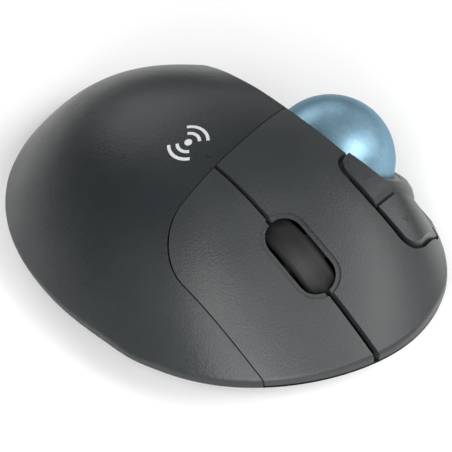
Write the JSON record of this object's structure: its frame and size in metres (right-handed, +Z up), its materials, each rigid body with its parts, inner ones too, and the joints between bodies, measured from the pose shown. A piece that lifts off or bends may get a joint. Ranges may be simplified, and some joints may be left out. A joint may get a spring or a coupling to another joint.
{
  "type": "trackball mouse",
  "caption": "Cordless thumb-operated trackball mouse: domed palm shell, split click plates with a scroll wheel between them, side keys on the ridge, and a ball in a socket beside it.",
  "frame": {"origin": "centre of the footprint, on the plane the feet rest on", "axes": "+Z up, -Y is the front where the click plates are, +X is the thumb side with the ball"},
  "size_m": [0.0991, 0.1335, 0.0486],
  "materials": {
    "shell_plastic": "fine matt grain",
    "button_plastic": "fine matt grain",
    "base_plastic": "matt moulded",
    "ball_pearl": "pearl blue, polished",
    "socket_gloss": "satin",
    "rubber_black": "matt rubber",
    "steel": "ground",
    "bearing_ceramic": "polished",
    "inner_plastic": "moulded",
    "board_green": "solder resist",
    "switch_plastic": "moulded",
    "chip_black": "moulded",
    "lens_clear": "clear",
    "light_pipe": "smoked",
    "cell_wrap": "printed sleeve",
    "contact_metal": "nickel plated"
  },
  "bodies": {
    "housing": {"palm_shell": "shell_plastic", "base_shell": "base_plastic", "ball_cup": "inner_plastic", "bearing_balls": "bearing_ceramic", "socket_ring": "socket_gloss", "sensor_lens": "lens_clear", "sensor_chip": "chip_black", "sensor_board": "board_green", "carrier_pin": "steel", "wheel_encoder": "switch_plastic", "main_board": "board_green", "click_switches": "switch_plastic", "wheel_switch": "switch_plastic", "side_board": "board_green", "side_switches": "switch_plastic", "chassis": "inner_plastic", "button_hinge_pin": "steel", "status_light": "light_pipe", "battery_tray": "inner_plastic", "battery_cell": "cell_wrap", "battery_cap": "contact_metal", "battery_plus_contact": "contact_metal", "battery_minus_leaf": "contact_metal", "receiver_sleeve": "inner_plastic", "receiver_cap": "base_plastic", "receiver_plug": "contact_metal", "power_board": "board_green", "power_switch": "switch_plastic", "connect_switch": "switch_plastic", "connect_board": "board_green", "rubber_feet": "rubber_black", "screws": "steel"},
    "left_plate": {"left_button": "button_plastic"},
    "right_plate": {"right_button": "button_plastic"},
    "back_key": {"back_button": "button_plastic"},
    "forward_key": {"forward_button": "button_plastic"},
    "wheel_cradle": {"wheel_carrier": "inner_plastic"},
    "wheel": {"wheel_tyre": "rubber_black", "wheel_hub": "inner_plastic", "wheel_axle": "steel"},
    "trackball": {"ball": "ball_pearl"},
    "door": {"battery_door": "base_plastic"},
    "power_slider": {"power_knob": "switch_plastic"},
    "connect_key": {"connect_button": "switch_plastic"}
  },
  "joints": [
    {"name": "left_click", "type": "hinge", "parent": "housing", "child": "left_plate", "pos_m": [0, -0.01115, 0.029], "axis": [1, 0, 0], "range_deg": [0, 0.7], "stiffness_Nm_per_rad": 0.5, "springref_deg": -0.69},
    {"name": "right_click", "type": "hinge", "parent": "housing", "child": "right_plate", "pos_m": [0, -0.01115, 0.029], "axis": [1, 0, 0], "range_deg": [0, 0.7], "stiffness_Nm_per_rad": 0.5, "springref_deg": -0.69},
    {"name": "back_press", "type": "slide", "parent": "housing", "child": "back_key", "axis": [0, 0, -1], "range_m": [0, 0.0006], "stiffness_N_per_m": 300, "springref_m": -0.0006},
    {"name": "forward_press", "type": "slide", "parent": "housing", "child": "forward_key", "axis": [0, 0, -1], "range_m": [0, 0.0006], "stiffness_N_per_m": 300, "springref_m": -0.0006},
    {"name": "wheel_click", "type": "hinge", "parent": "housing", "child": "wheel_cradle", "pos_m": [0, -0.01775, 0.012], "axis": [1, 0, 0], "range_deg": [0, 0.8], "stiffness_Nm_per_rad": 0.8, "springref_deg": -0.69},
    {"name": "wheel_spin", "type": "hinge", "parent": "wheel_cradle", "child": "wheel", "pos_m": [-0.00446, -0.03285, 0.02317], "axis": [0.9347, -0.1732, 0.3103], "continuous": true},
    {"name": "ball_spin", "type": "hinge", "parent": "housing", "child": "trackball", "pos_m": [0.02745, -0.01615, 0.02665], "axis": [0, 0, 1], "continuous": true},
    {"name": "door_slide", "type": "slide", "parent": "housing", "child": "door", "axis": [0, 1, 0], "range_m": [0, 0.01]},
    {"name": "power_slide", "type": "slide", "parent": "housing", "child": "power_slider", "axis": [1, 0, 0], "range_m": [0, 0.0045]},
    {"name": "connect_press", "type": "slide", "parent": "housing", "child": "connect_key", "axis": [0, 0, 1], "range_m": [0, 0.0005], "stiffness_N_per_m": 200, "springref_m": -0.0005}
  ]
}
